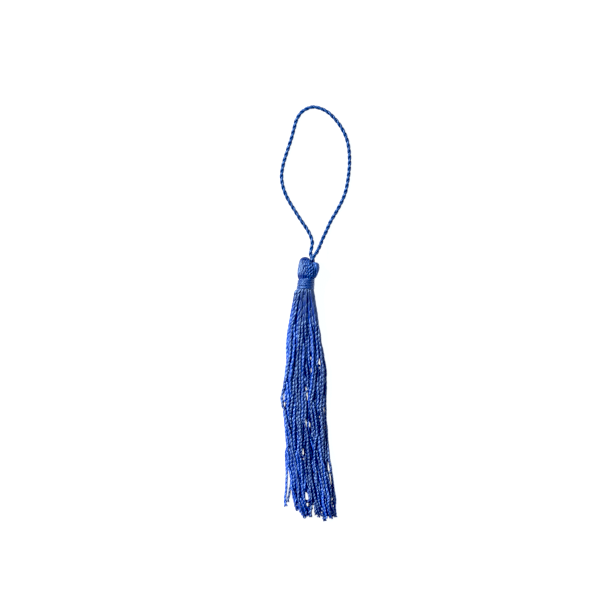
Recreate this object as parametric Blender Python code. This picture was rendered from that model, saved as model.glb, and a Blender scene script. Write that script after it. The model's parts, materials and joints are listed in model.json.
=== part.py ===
"""A lying tassel of silky twisted thread: folded hank with its fringe, neck binding and hanging loop.

The tassel lies on the plane z = 0 with its head towards +Y and its fringe towards -Y, and +Z is up.
Every shape is first worked out around the neck, from the middle of the binding's lower edge, in
millimetres, and then moved so that the hank's box stands centred on the origin.
"""

import math

import bpy
import numpy as np

MM = 0.001

# Hank: the threads that are folded into the head and hang down as the fringe.
STRAND_COUNT = 40
STRAND_PITCH = 0.87  # least distance between the middle lines of two strands that lie side by side
STRAND_SIDE = 0.50  # side of a strand's square section
STRAND_SEED = 94
ROOT_DROP = 1.8  # where the strands start, below the binding and inside the hank's solid body
ROOT_PITCH = 0.75  # least distance at the roots, where the binding squeezes the strands
ROOT_SPREAD = 9.0  # stretch over which they widen from that
STATION_STEP = 2.8  # distance between two stations along the fringe

# Outline of the fringe's main bundle: how far below the binding, and where its left and right edges lie.
FRINGE_EDGES = (
    # drop, left, right
    (1.8, -4.0, 2.7),
    (4.0, -4.4, 2.9),
    (9.2, -5.1, 3.6),
    (18.4, -6.1, 5.1),
    (24.6, -6.6, 6.3),
    (33.9, -8.0, 6.2),
    (37.0, -7.3, 6.1),
    (49.4, -6.2, 7.0),
    (56.0, -6.0, 7.9),
    (60.3, -5.2, 8.6),
    (65.0, -4.3, 9.1),
    (70.0, -2.4, 9.3),
)

# Where the strands end: sideways place, and how far down the longest of them reaches there.
FRINGE_TIPS = (
    # side, drop
    (-4.0, 65.6),
    (-2.2, 69.4),
    (-0.3, 70.8),
    (3.0, 69.6),
    (5.5, 72.0),
    (9.2, 70.2),
)
TIP_SPREAD = 4.0  # the shortest strand of a place ends this much above the longest

# Slits through which the surface below shows.
FRINGE_SLITS = (
    # side, top, bottom, lean, width
    (3.95, 21.4, 25.8, 0.0, 0.5),
    (1.35, 23.8, 26.0, 0.0, 0.3),
    (0.1, 29.6, 33.8, 0.2, 0.6),
    (-7.05, 31.6, 36.0, -0.1, 0.4),
    (0.2, 40.2, 43.4, 0.9, 0.4),
    (-1.05, 48.8, 52.4, 0.2, 0.4),
    (6.9, 51.8, 61.2, 1.4, 0.4),
    (-5.25, 55.6, 66.0, 0.2, 0.7),
    (0.3, 62.2, 68.6, 0.7, 0.8),
    (7.9, 64.0, 66.6, 0.2, 0.4),
    (2.3, 66.2, 74.0, 0.1, 0.9),
)

# Strands that stray from the bundle: place from the left, where they leave it, and where they end.
STRAYS = (
    # rank, leaves, side, tip
    (0, 48.0, -6.0, 66.9),
    (3, 60.0, -5.5, 65.6),
)

# Body of the hank: rings from the fringe's roots up to the dish in the top of the head.
BODY_RIDGES = 22  # threads side by side round the head, each one raised
RIDGE_HEIGHT = 0.32
RIDGE_SLANT = 0.2  # radians that the head's threads turn for each millimetre upwards
NECK_HEIGHT = 2.72  # height of the neck's middle line above the plane it lies on
HEAD_BASE = 3.9  # height of the head's base above the binding's lower edge
HEAD_LEAN = math.radians(23.6)  # lean of the head's middle line towards +X
BODY_RINGS = (
    # along, offset, half_width, half_depth, tilt, ridge, cleft; along is measured from HEAD_BASE
    (-6.50, -0.70, 3.35, 2.60, 0.0, 1.0, 0.0),
    (-5.60, -0.60, 3.05, 2.65, 0.0, 1.0, 0.0),
    (-4.90, -0.45, 2.75, 2.65, 0.0, 1.0, 0.0),
    (-4.25, -0.25, 2.45, 2.45, 0.0, 0.5, 0.0),
    (-4.20, 0.00, 2.00, 2.00, 0.0, 0.0, 0.0),
    (0.08, 0.00, 2.00, 2.00, 0.0, 0.0, 0.0),
    (0.30, 0.00, 2.45, 2.40, 3.0, 0.5, 0.0),
    (0.75, -0.15, 2.75, 2.80, 8.0, 1.0, 0.0),
    (1.60, -0.30, 2.95, 3.00, 15.0, 1.0, 0.0),
    (2.70, -0.45, 3.10, 3.05, 20.0, 1.0, 0.0),
    (3.70, -0.50, 3.10, 3.05, 22.0, 1.0, 0.0),
    (4.50, -0.50, 2.95, 2.85, 22.0, 1.0, 0.2),
    (5.10, -0.55, 2.60, 2.45, 22.0, 1.0, 0.5),
    (5.60, -0.60, 2.05, 1.95, 22.0, 1.0, 0.8),
    (5.75, -0.50, 1.50, 1.50, 22.0, 0.5, 0.9),
    (5.50, -0.30, 0.90, 0.90, 22.0, 0.2, 0.7),
)
CLEFT_HALF_WIDTH = 1.1

# End of the body, where the strands leave it: middle and half sizes, across and above the surface.
ROOT_MIDDLE = np.array([BODY_RINGS[0][1], NECK_HEIGHT])
ROOT_OVAL = np.array([BODY_RINGS[0][2], BODY_RINGS[0][3]])

# Settling of the strands into a heap. The shares say how much of a fault one round mends.
WANDER = 0.095  # slow sideways wander, as a share of the bundle's width
WANDER_CYCLES = (0.7, 1.7, 3.3)  # waves of it along the fringe, each weaker than the last
SETTLE_ROUNDS = 600
PARTING_ROUNDS = 150  # last rounds, in which the strands only move apart
BEND_SHARE = 0.2  # of a strand's kink at a station
TIP_SHARE = 0.3  # of the kink at its last station
AIM_SHARE = 0.04  # of the way to the strand's own aim
PUSH_SHARE = 0.4  # of an overlap, for each of the two strands
LIMIT_SHARE = 0.5  # of what reaches into a slit or over the outline
SAG = 0.03  # fall in a round
SHAKE = 0.02  # random move in a round, which lets strands slip past each other

# Binding: thread wound round the neck.
BINDING_TURNS = 7
BINDING_HEIGHT = 3.7
BINDING_BORE = 2.32  # radius
BINDING_RADIUS = 2.74  # over the turns
BINDING_GROOVE = 0.18  # depth between two turns
BINDING_SIDES = 28

# Hanging loop: a cord of two plies, laid in the open curve in which the tassel rests.
CORD_DIAMETER = 1.12
CORD_LAY = 3.54  # length of one whole turn of the two plies
CORD_STEPS = 8  # rings in one whole turn
CORD_SIDES = 8
CORD_WAIST = 0.86  # the cord's width across the groove between its plies
CORD_ROUTE = (
    # x, y, z of the middle line, from the lower leg at the head round to the upper one
    (2.20, 9.40, 2.10),
    (1.62, 10.35, 2.05),
    (1.40, 11.60, 1.90),
    (1.60, 13.30, 1.60),
    (1.74, 15.00, 1.25),
    (1.22, 16.90, 0.95),
    (0.10, 19.00, 0.70),
    (-1.85, 21.90, 0.60),
    (-4.20, 25.60, 0.60),
    (-6.00, 28.70, 0.60),
    (-7.25, 31.90, 0.60),
    (-7.76, 35.30, 0.60),
    (-7.25, 39.00, 0.60),
    (-6.10, 42.90, 0.60),
    (-4.75, 47.00, 0.60),
    (-3.84, 50.40, 0.60),
    (-3.10, 52.90, 0.60),
    (-1.35, 55.45, 0.60),
    (1.75, 56.85, 0.60),
    (4.60, 56.30, 0.60),
    (6.80, 55.05, 0.60),
    (8.99, 52.90, 0.60),
    (10.82, 50.40, 0.60),
    (12.15, 47.70, 0.60),
    (12.95, 44.80, 0.60),
    (13.28, 41.20, 0.60),
    (13.20, 37.80, 0.60),
    (12.75, 34.00, 0.60),
    (12.00, 30.40, 0.60),
    (10.85, 27.50, 0.60),
    (9.20, 24.40, 0.60),
    (7.40, 21.30, 0.65),
    (6.05, 18.30, 0.90),
    (4.90, 15.80, 1.50),
    (4.00, 13.50, 2.40),
    (3.15, 11.75, 3.15),
    (2.45, 10.55, 3.50),
    (1.92, 9.65, 3.55),
)

SILK_BLUE = (0.024, 0.090, 0.462, 1.0)
CORD_BLUE = (0.030, 0.105, 0.500, 1.0)


def remove_everything():
    """Empties the scene that Blender starts with."""
    for old in list(bpy.data.objects):
        bpy.data.objects.remove(old)


def smooth_through(points, steps):
    """Points evenly spaced along a smooth curve (centripetal Catmull-Rom) through the given ones."""
    points = np.asarray(points, dtype=float)
    ends = np.vstack([2 * points[0] - points[1], points, 2 * points[-1] - points[-2]])
    dense = []
    for before, start, end, after in zip(ends, ends[1:], ends[2:], ends[3:]):
        knots = np.cumsum(
            [0.0] + [math.sqrt(np.linalg.norm(b - a)) for a, b in ((before, start), (start, end), (end, after))]
        )
        t = np.linspace(knots[1], knots[2], 24, endpoint=False)[:, None]
        a1 = (before * (knots[1] - t) + start * (t - knots[0])) / (knots[1] - knots[0])
        a2 = (start * (knots[2] - t) + end * (t - knots[1])) / (knots[2] - knots[1])
        a3 = (end * (knots[3] - t) + after * (t - knots[2])) / (knots[3] - knots[2])
        b1 = (a1 * (knots[2] - t) + a2 * (t - knots[0])) / (knots[2] - knots[0])
        b2 = (a2 * (knots[3] - t) + a3 * (t - knots[1])) / (knots[3] - knots[1])
        dense.append((b1 * (knots[2] - t) + b2 * (t - knots[1])) / (knots[2] - knots[1]))
    dense = np.vstack(dense + [points[-1:]])
    length = np.concatenate([[0.0], np.cumsum(np.linalg.norm(np.diff(dense, axis=0), axis=1))])
    wanted = np.linspace(0.0, length[-1], steps)
    return np.stack([np.interp(wanted, length, dense[:, k]) for k in range(points.shape[1])], axis=1)


def body_ring(along, offset, half_width, half_depth, tilt, ridge, cleft):
    """One ring of the hank's body, its threads raised, and flattened where it lies on the surface.

    The cleft lowers the ring's middle, so that the top of the head has a lobe on each side of the loop.
    """
    count = 2 * BODY_RIDGES
    climb = max(along, 0.0)
    angle = 2 * math.pi * np.arange(count) / count - RIDGE_SLANT * climb
    raised = np.where(np.arange(count) % 2 == 0, 0.5, -0.5) * RIDGE_HEIGHT * ridge
    lean = math.radians(tilt)
    side = offset + (half_width + raised) * np.cos(angle)
    depth = (half_depth + raised) * np.sin(angle)
    sunk = cleft * np.exp(-((side / CLEFT_HALF_WIDTH) ** 2))
    middle_x = climb * math.sin(HEAD_LEAN)
    middle_y = HEAD_BASE + min(along, 0.0) + climb * math.cos(HEAD_LEAN)
    x = middle_x + side * math.cos(lean) - sunk * math.sin(lean)
    y = middle_y - side * math.sin(lean) - sunk * math.cos(lean)
    return np.stack([x, y, np.maximum(NECK_HEIGHT + depth, 0.0)], axis=1)


def slit_places(drop):
    """Middle and half opening of each slit at each station; the opening is 0 where the slit is shut."""
    side, top, bottom, lean, width = (np.array(values)[:, None] for values in zip(*FRINGE_SLITS))
    share = (drop - top) / (bottom - top)
    opening = np.where(np.abs(share - 0.5) < 0.62, 0.5 * (width + STRAND_PITCH), 0.0)
    return side + lean * (share - 0.5), opening


def root_places():
    """Roots of the strands, in a sunflower pattern over the oval end of the hank's body."""
    seat = np.arange(STRAND_COUNT)
    reach = np.sqrt((seat + 0.5) / STRAND_COUNT)
    angle = seat * math.pi * (3 - math.sqrt(5))
    return ROOT_MIDDLE + ROOT_OVAL * np.stack([reach * np.cos(angle), reach * np.sin(angle)], axis=1)


def aimed_lines(drop, roots, random):
    """Where each strand would lie on its own: sideways place and leftmost place by station, and its tip.

    Each keeps its share of the bundle's width, with a slow wander that grows down the fringe.
    """
    edge_drop, edge_left, edge_right = (np.array(values) for values in zip(*FRINGE_EDGES))
    left = np.interp(drop, edge_drop, edge_left) + 0.5 * STRAND_PITCH
    right = np.interp(drop, edge_drop, edge_right) - 0.5 * STRAND_PITCH
    order = np.argsort(roots[:, 0])
    share = np.empty(STRAND_COUNT)
    share[order] = (np.arange(STRAND_COUNT) + 0.5) / STRAND_COUNT
    fall = (drop - drop[0]) / (drop[-1] - drop[0])
    phase = random.uniform(0, 2 * math.pi, (STRAND_COUNT, len(WANDER_CYCLES)))
    wander = np.zeros((STRAND_COUNT, len(drop)))
    for k, cycles in enumerate(WANDER_CYCLES):
        wander += np.sin(2 * math.pi * cycles * fall + phase[:, k : k + 1]) / (k + 1)
    share = share[:, None] + WANDER * wander * np.minimum(1.0, 2.5 * fall)
    aim = left + (right - left) * np.clip(share, 0.0, 1.0)

    tip_side, tip_drop = (np.array(values) for values in zip(*FRINGE_TIPS))
    tips = np.interp(aim[:, -1], tip_side, tip_drop) - TIP_SPREAD * random.random(STRAND_COUNT) ** 1.5
    leftmost = np.repeat(left[None], STRAND_COUNT, axis=0)
    for rank, leaves, side, tip in STRAYS:
        strand = order[rank]
        drift = np.clip(2.0 * (drop - leaves) / (tip - leaves), 0.0, 1.0)
        aim[strand] += drift * (side - aim[strand])
        leftmost[strand] = np.minimum(leftmost[strand], side - 0.5)
        tips[strand] = tip
    return aim, leftmost, right, tips


def settle_strands():
    """Middle lines of the strands by station, as places across and above the surface, and their tips.

    The strands start at their roots, and then sag, bend smoothly, drift towards their aims, push each
    other apart and keep out of the slits, round after round, until they lie in a loose heap.
    """
    random = np.random.default_rng(STRAND_SEED)
    longest = max(drop for _, drop in FRINGE_TIPS)
    drop = np.linspace(ROOT_DROP, longest, int((longest - ROOT_DROP) / STATION_STEP) + 1)
    roots = root_places()
    aim, leftmost, right, tips = aimed_lines(drop, roots, random)
    fall = (drop - drop[0]) / (drop[-1] - drop[0])
    height = roots[:, 1:] * (1 - 0.75 * np.minimum(1.0, 1.6 * fall))
    place = np.stack([aim, height], axis=2)
    place[:, 0] = roots
    slit, opening = slit_places(drop)
    alive = drop <= tips[:, None] + STATION_STEP
    paired = alive[:, None] & alive & ~np.eye(STRAND_COUNT, dtype=bool)[:, :, None]
    squeeze = np.clip(1 - (drop - ROOT_DROP) / ROOT_SPREAD, 0.0, 1.0)
    pitch = STRAND_PITCH - (STRAND_PITCH - ROOT_PITCH) * squeeze
    inner_oval = ROOT_OVAL - 0.5 * STRAND_PITCH

    for step in range(SETTLE_ROUNDS):
        ease = min(1.0, 1.25 * (1.0 - step / SETTLE_ROUNDS))
        if step < SETTLE_ROUNDS - PARTING_ROUNDS:
            bend = 0.5 * (place[:, :-2] + place[:, 2:]) - place[:, 1:-1]
            place[:, 1:-1] += BEND_SHARE * ease * bend
            place[:, -1] += TIP_SHARE * ease * (2 * place[:, -2] - place[:, -3] - place[:, -1])
            place[..., 0] += AIM_SHARE * ease * (aim - place[..., 0])
            place[:, 1:, 1] -= SAG * ease
            place[:, 1:] += random.normal(0.0, SHAKE * ease, place[:, 1:].shape)
        apart = place[:, None] - place
        distance = np.linalg.norm(apart, axis=3) + 1e-9
        push = np.where(paired, np.maximum(pitch - distance, 0.0), 0.0) / distance
        place += PUSH_SHARE * (apart * push[..., None]).sum(axis=1)
        beside = place[None, ..., 0] - slit[:, None]
        short = np.maximum(opening[:, None] - np.abs(beside), 0.0)
        place[..., 0] += LIMIT_SHARE * (np.where(beside < 0, -1.0, 1.0) * short).sum(axis=0)
        place[..., 0] += LIMIT_SHARE * (np.clip(place[..., 0], leftmost, right) - place[..., 0])
        place[..., 1] = np.maximum(place[..., 1], 0.5 * STRAND_PITCH)
        off = (place[:, 0] - ROOT_MIDDLE) / inner_oval
        place[:, 0] = ROOT_MIDDLE + inner_oval * off / np.maximum(1.0, np.linalg.norm(off, axis=1))[:, None]
    return drop, place, tips


def strand_lines():
    """The strands' middle lines in space, each cut off at its own tip and lowered onto the surface."""
    drop, place, tips = settle_strands()
    sink = 0.5 * (STRAND_PITCH - STRAND_SIDE)
    lines = []
    for path, tip in zip(place, tips):
        stations = np.append(drop[drop < tip - 0.4 * STATION_STEP], tip)
        across = np.interp(stations, drop, path[:, 0])
        above = np.interp(stations, drop, path[:, 1]) - sink
        lines.append(np.stack([across, -stations, above], axis=1))
    return lines


def strand_tube(line):
    """Points and faces of one strand: squares with level sides along its middle line, closed at both ends."""
    half = 0.5 * STRAND_SIDE
    corners = np.array([(-half, 0.0, -half), (-half, 0.0, half), (half, 0.0, half), (half, 0.0, -half)])
    points = (line[:, None] + corners[None]).reshape(-1, 3)
    return points, tube_faces(len(line), 4)


def tube_faces(rings, sides):
    """Quads between neighbouring rings of points, and a cap at each end."""
    faces = [tuple(range(sides)), tuple((rings - 1) * sides + k for k in reversed(range(sides)))]
    for ring in range(rings - 1):
        for side in range(sides):
            here, beside = ring * sides + side, ring * sides + (side + 1) % sides
            faces.append((here, here + sides, beside + sides, beside))
    return faces


def cord_rings():
    """Points of the twisted loop: a waisted section of two plies, turned steadily along the route.

    It turns as a right-handed screw does, the way in which this thread and cord are twisted.
    """
    route = np.array(CORD_ROUTE)
    length = np.linalg.norm(np.diff(smooth_through(route, 600), axis=0), axis=1).sum()
    rings = int(round(length / CORD_LAY * CORD_STEPS))
    middle = smooth_through(route, rings)
    ahead = np.gradient(middle, axis=0)
    ahead /= np.linalg.norm(ahead, axis=1)[:, None]
    across = np.cross(ahead, (0.0, 0.0, 1.0))
    across /= np.linalg.norm(across, axis=1)[:, None]
    over = np.cross(across, ahead)
    corner = 2 * math.pi * np.arange(CORD_SIDES) / CORD_SIDES
    radius = 0.25 * (CORD_DIAMETER + CORD_WAIST + (CORD_DIAMETER - CORD_WAIST) * np.cos(2 * corner))
    turn = corner[None] - 2 * math.pi * np.linspace(0.0, length / CORD_LAY, rings)[:, None]
    section = radius[None] * np.stack([np.cos(turn), np.sin(turn)])
    return middle[:, None] + section[0, ..., None] * across[:, None] + section[1, ..., None] * over[:, None]


def binding_rings():
    """Points of the binding: its profile, with one raised round for each turn, spun about the neck."""
    rise = BINDING_HEIGHT / (2 * BINDING_TURNS)
    profile = [(BINDING_BORE, BINDING_HEIGHT), (BINDING_BORE, 0.0)]
    for step in range(2 * BINDING_TURNS + 1):
        radius = BINDING_RADIUS - (0.0 if step % 2 else BINDING_GROOVE)
        profile.append((radius, step * rise))
    profile = np.array(profile)
    angle = 2 * math.pi * np.arange(BINDING_SIDES) / BINDING_SIDES
    x = profile[None, :, 0] * np.cos(angle)[:, None]
    z = np.maximum(NECK_HEIGHT + profile[None, :, 0] * np.sin(angle)[:, None], 0.0)
    y = np.broadcast_to(profile[None, :, 1], x.shape)
    return np.stack([x, y, z], axis=2)


def ring_faces(rings, sides):
    """Quads of a closed ring of profiles, as a torus has."""
    faces = []
    for ring in range(rings):
        for side in range(sides):
            here, beside = ring * sides + side, ring * sides + (side + 1) % sides
            ahead = ((ring + 1) % rings) * sides
            faces.append((here, beside, ahead + (side + 1) % sides, ahead + side))
    return faces


def thread_material(name, colour, roughness):
    """Plain stand-in for silky thread: its colour and its soft gloss."""
    material = bpy.data.materials.new(name)
    material.use_nodes = True
    shader = material.node_tree.nodes["Principled BSDF"]
    shader.inputs["Base Color"].default_value = colour
    shader.inputs["Roughness"].default_value = roughness
    shader.inputs["Metallic"].default_value = 0.0
    return material


def add_object(name, points, faces, material, shift):
    """An object from points in millimetres around the neck, moved by shift and turned into metres."""
    mesh = bpy.data.meshes.new(name)
    mesh.from_pydata(((np.asarray(points) + shift) * MM).tolist(), [], faces)
    mesh.validate()
    mesh.shade_smooth()
    mesh.set_sharp_from_angle(angle=math.radians(50))
    mesh.materials.append(material)
    thing = bpy.data.objects.new(name, mesh)
    bpy.context.scene.collection.objects.link(thing)
    return thing


def build():
    """Makes the three pieces; the strands are joined to the hank's body by a Boolean union."""
    remove_everything()
    silk = thread_material("silky_rayon_thread", SILK_BLUE, 0.4)
    wound = thread_material("wound_binding_thread", SILK_BLUE, 0.35)
    corded = thread_material("twisted_rayon_cord", CORD_BLUE, 0.35)

    body = np.vstack([body_ring(*row) for row in BODY_RINGS])
    tubes = [strand_tube(line) for line in strand_lines()]
    hank = np.vstack([body] + [points for points, _ in tubes])
    low, high = hank.min(axis=0), hank.max(axis=0)
    shift = np.array([-(low[0] + high[0]) / 2, -(low[1] + high[1]) / 2, 0.0])

    head = add_object("thread_hank", body, tube_faces(len(BODY_RINGS), 2 * BODY_RIDGES), silk, shift)
    points, faces, start = [], [], 0
    for tube, quads in tubes:
        points.append(tube)
        faces.extend(tuple(start + k for k in quad) for quad in quads)
        start += len(tube)
    fringe = add_object("fringe_strands", np.vstack(points), faces, silk, shift)
    fringe.hide_render = True
    fringe.display_type = "WIRE"
    fuse = head.modifiers.new("fuse_roots", "BOOLEAN")
    fuse.operation = "UNION"
    fuse.solver = "EXACT"
    fuse.object = fringe

    rings = binding_rings()
    add_object("neck_binding", rings.reshape(-1, 3), ring_faces(*rings.shape[:2]), wound, shift)

    rings = cord_rings()
    add_object("hanging_loop", rings.reshape(-1, 3), tube_faces(*rings.shape[:2]), corded, shift)


build()
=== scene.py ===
# %% [markdown]
# # A tassel of silky thread
# The real object is a hank of viscose thread, folded over a loop of twisted cord, bound once round its neck
# and cut off nearly level at the other end. It lies flat, as it does on a table before it is tied to a
# bookmark or a key. Three things carry its looks: every strand is two plies wound round each other, the
# strands lie in a loose heap with dark gaps between them, and the thread shines across its fibres, so that
# each ply flashes once in a turn. The lesson therefore builds real threads instead of painting lines on a
# cone.

import json
import math

import bpy
import numpy as np
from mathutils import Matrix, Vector

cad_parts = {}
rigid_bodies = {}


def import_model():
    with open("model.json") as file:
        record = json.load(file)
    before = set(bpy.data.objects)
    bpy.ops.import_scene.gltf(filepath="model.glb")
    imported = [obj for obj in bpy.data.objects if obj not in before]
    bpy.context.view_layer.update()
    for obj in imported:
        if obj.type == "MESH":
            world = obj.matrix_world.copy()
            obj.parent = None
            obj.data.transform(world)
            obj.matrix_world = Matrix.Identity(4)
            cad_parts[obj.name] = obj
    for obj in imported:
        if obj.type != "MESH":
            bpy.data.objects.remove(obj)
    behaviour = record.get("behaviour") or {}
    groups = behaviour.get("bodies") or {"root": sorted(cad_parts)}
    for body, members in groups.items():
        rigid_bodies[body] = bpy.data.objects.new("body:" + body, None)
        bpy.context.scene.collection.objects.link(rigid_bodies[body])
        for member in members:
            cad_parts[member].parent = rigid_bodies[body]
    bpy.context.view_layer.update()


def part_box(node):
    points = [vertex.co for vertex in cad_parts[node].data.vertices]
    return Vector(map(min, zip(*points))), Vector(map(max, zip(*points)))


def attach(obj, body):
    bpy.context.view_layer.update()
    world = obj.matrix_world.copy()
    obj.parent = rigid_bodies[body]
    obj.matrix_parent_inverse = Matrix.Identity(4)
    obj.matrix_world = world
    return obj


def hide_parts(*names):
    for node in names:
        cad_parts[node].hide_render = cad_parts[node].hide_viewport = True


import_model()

MM = 0.001
neck_low, neck_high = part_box("neck_binding")
neck = np.array([(neck_low[0] + neck_high[0]) / 2, neck_low[1], 0.0]) / MM
print("middle of the binding's lower edge at", neck.round(2), "mm")

# %% [markdown]
# ## The camera
# The tassel was laid on a white surface and seen from straight above. A long lens from far away keeps the
# sides of the thin strands as parallel as they are there, and the frame is as wide as 186 mm of the surface.
# Everything below is measured in millimetres from the middle of the binding's lower edge, so the view is
# placed from it too.

# %% Camera straight above
VIEW_WIDTH = 186.0
VIEW_MIDDLE = np.array([-2.05, -2.95, 0.0])
CAMERA_HEIGHT = 1400.0

lens = bpy.data.cameras.new("camera")
lens.sensor_width = 36.0
lens.lens = lens.sensor_width * CAMERA_HEIGHT / VIEW_WIDTH
lens.clip_start, lens.clip_end = 0.05, 20.0
camera = bpy.data.objects.new("camera", lens)
camera.location = (neck + VIEW_MIDDLE + (0.0, 0.0, CAMERA_HEIGHT)) * MM
shelf = bpy.context.scene.collection.objects
shelf.link(camera)
bpy.context.scene.camera = camera
print(f"camera {CAMERA_HEIGHT:.0f} mm up, lens {lens.lens:.0f} mm")

# %% [markdown]
# ## Smooth lines
# A thread can't kink, so every line that is given by a few points becomes a smooth curve through them first.
# The curve of Catmull and Rom does that: it passes every point, in the direction from the point before to
# the point after. Its points are then spread evenly, because twist is counted along the thread.

# %% A smooth curve through points
SPAN_POINTS = 24  # points worked out between two given ones


def smooth_through(points, steps):
    """Evenly spaced points on a centripetal Catmull-Rom curve: between two points, three straight blends of
    four neighbours are blended again and once more, with knots spaced as the root of the distance."""
    points = np.asarray(points, dtype=float)
    p = np.vstack([2 * points[0] - points[1], points, 2 * points[-1] - points[-2]])
    gap = np.sqrt(np.linalg.norm(np.diff(p, axis=0), axis=1))
    k0 = np.zeros(len(points) - 1)[:, None, None]
    k1 = k0 + gap[:-2, None, None]
    k2 = k1 + gap[1:-1, None, None]
    k3 = k2 + gap[2:, None, None]
    t = k1 + (k2 - k1) * np.linspace(0.0, 1.0, SPAN_POINTS, endpoint=False)[None, :, None]
    p0, p1, p2, p3 = p[:-3, None], p[1:-2, None], p[2:-1, None], p[3:, None]
    a1 = (p0 * (k1 - t) + p1 * (t - k0)) / (k1 - k0)
    a2 = (p1 * (k2 - t) + p2 * (t - k1)) / (k2 - k1)
    a3 = (p2 * (k3 - t) + p3 * (t - k2)) / (k3 - k2)
    b1 = (a1 * (k2 - t) + a2 * (t - k0)) / (k2 - k0)
    b2 = (a2 * (k3 - t) + a3 * (t - k1)) / (k3 - k1)
    dense = ((b1 * (k2 - t) + b2 * (t - k1)) / (k2 - k1)).reshape(-1, points.shape[1])
    dense = np.vstack([dense, points[-1:]])
    walked = walk(dense)
    wanted = np.linspace(0.0, walked[-1], steps)
    return np.stack([np.interp(wanted, walked, column) for column in dense.T], axis=1)


def walk(line):
    """Distance walked from the start of a line to each of its points."""
    return np.concatenate([[0.0], np.cumsum(np.linalg.norm(np.diff(line, axis=0), axis=1))])


def unit(vectors):
    """The same directions, one long."""
    return vectors / np.linalg.norm(vectors, axis=-1, keepdims=True)


quarter = smooth_through([(1.0, 0.0), (math.sqrt(0.5), math.sqrt(0.5)), (0.0, 1.0)], 9)
print(f"a quarter circle through three points: {walk(quarter)[-1]:.3f} long, a true one {math.pi / 2:.3f}")

# %% [markdown]
# ## Thread as two plies
# Thread and cord are made alike: two plies are laid side by side and twisted until they lock. From outside
# each ply looks like a slanting bead, and between two beads is a sharp groove. One round tube with a painted
# spiral would lose that groove, so each ply is its own tube on a helix round the thread's middle line. Where
# they press together the plies are flat, so their section is an ellipse, wider round the thread than towards
# its middle.

# %% The plies of a thread
def twisted(line, width, lay, phase, sides, shape, up=(0.0, 0.0, 1.0), opened=0.0):
    """Rings of the two plies of one thread, each (rings, sides, 3), with the distance walked along it.

    In the plane across the line a ply's middle stands an offset out and turns once in each lay, as a
    right-handed screw: the turns are the sum of the short steps, each over the lay there. Round the ply's
    middle runs an ellipse. The shape is the offset, half the ellipse's size in that direction, and half its
    size round the thread, as shares of half the thread's width. The opened share moves the middles apart.
    """
    walked = walk(line)
    ahead = unit(np.gradient(line, axis=0))
    across = unit(np.cross(ahead, up))
    over = np.cross(across, ahead)
    corner = 2 * math.pi * np.arange(sides) / sides + math.pi / sides
    half = 0.5 * np.broadcast_to(width, walked.shape)[:, None]
    offset, size_out, size_round = shape
    pair = []
    turns = np.concatenate([[0.0], np.cumsum(np.diff(walked) / np.broadcast_to(lay, walked.shape)[1:])])
    for start in (phase, phase + math.pi):
        turn = (start - 2 * math.pi * turns)[:, None]
        out = np.cos(turn) * across + np.sin(turn) * over
        round_it = np.cos(turn) * over - np.sin(turn) * across
        middle = line + half * (offset + np.broadcast_to(opened, walked.shape)[:, None]) * out
        deep = (half * size_out * np.cos(corner))[..., None] * out[:, None]
        broad = (half * size_round * np.sin(corner))[..., None] * round_it[:, None]
        pair.append(middle[:, None] + deep + broad)
    return pair, walked


sample = np.linspace((0.0, 0.0, 0.0), (0.0, 10.0, 0.0), 41)
plies, _ = twisted(sample, width=1.0, lay=2.5, phase=0.0, sides=8, shape=(0.4, 0.6, 0.8))
print(f"a sample thread of 1 mm is up to {np.ptp(np.concatenate(plies)[..., 0]):.2f} mm across")
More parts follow.
